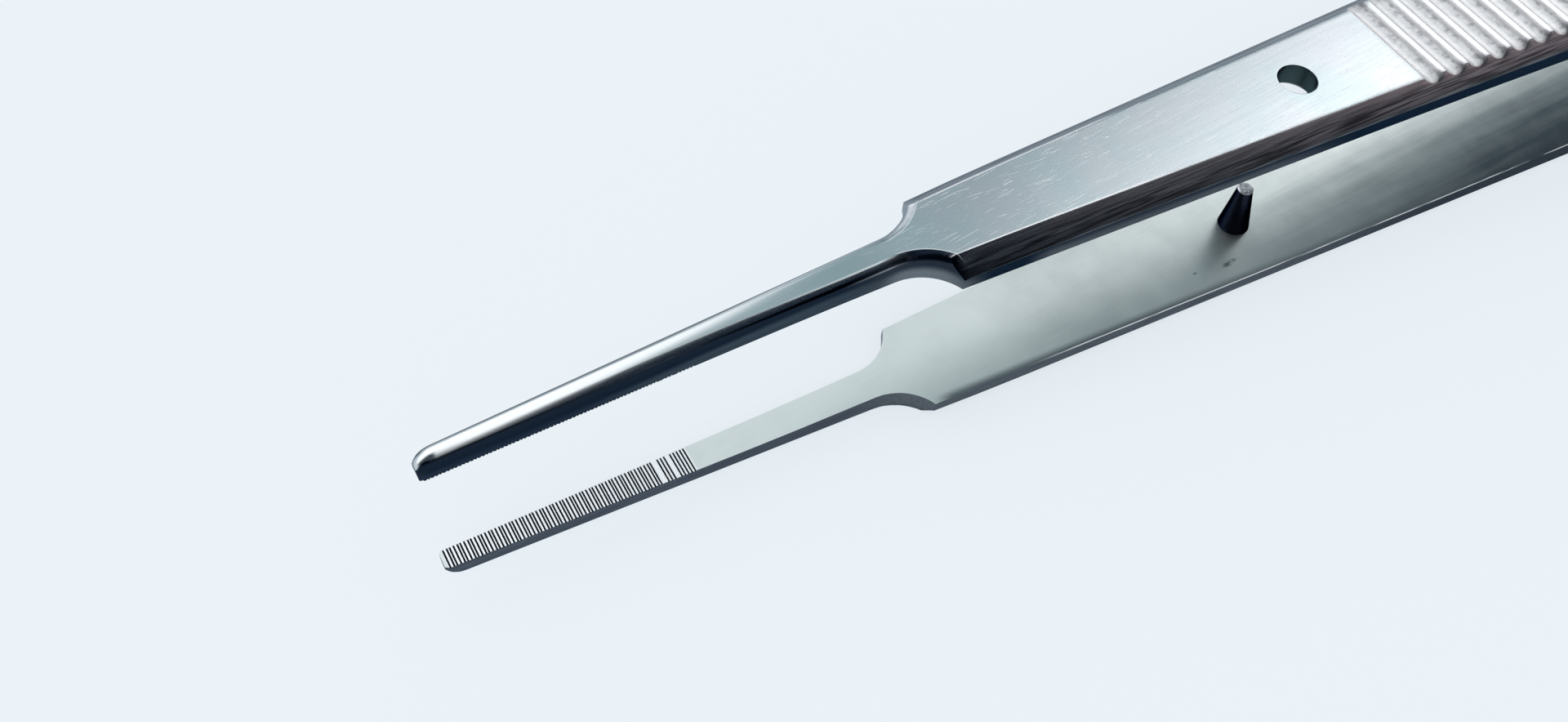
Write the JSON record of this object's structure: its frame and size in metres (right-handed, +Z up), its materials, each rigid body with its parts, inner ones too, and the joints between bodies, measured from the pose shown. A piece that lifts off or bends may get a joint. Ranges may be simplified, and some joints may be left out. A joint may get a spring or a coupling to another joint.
{
  "type": "thumb forceps",
  "caption": "Shouldered thumb forceps lying sprung open, with narrow cross-serrated jaws, concave shoulders, a bevelled body, a guide pin and hole, fluted grips and a joined heel.",
  "frame": {"origin": "middle of the footprint, on the surface that the outer face of the lower arm lies on", "axes": "+X runs along the length from the tips to the heel, +Y across the width, +Z up, the direction in which the arms spring open"},
  "size_m": [0.18, 0.013, 0.0172],
  "materials": {
    "arm_steel": "satin stainless steel, brushed lengthwise, with polished jaws and bevels",
    "pin_steel": "dark polished steel with a bright filed end"
  },
  "bodies": {
    "root": {"upper_arm": "arm_steel", "lower_arm": "arm_steel", "guide_pin": "pin_steel"}
  },
  "joints": []
}
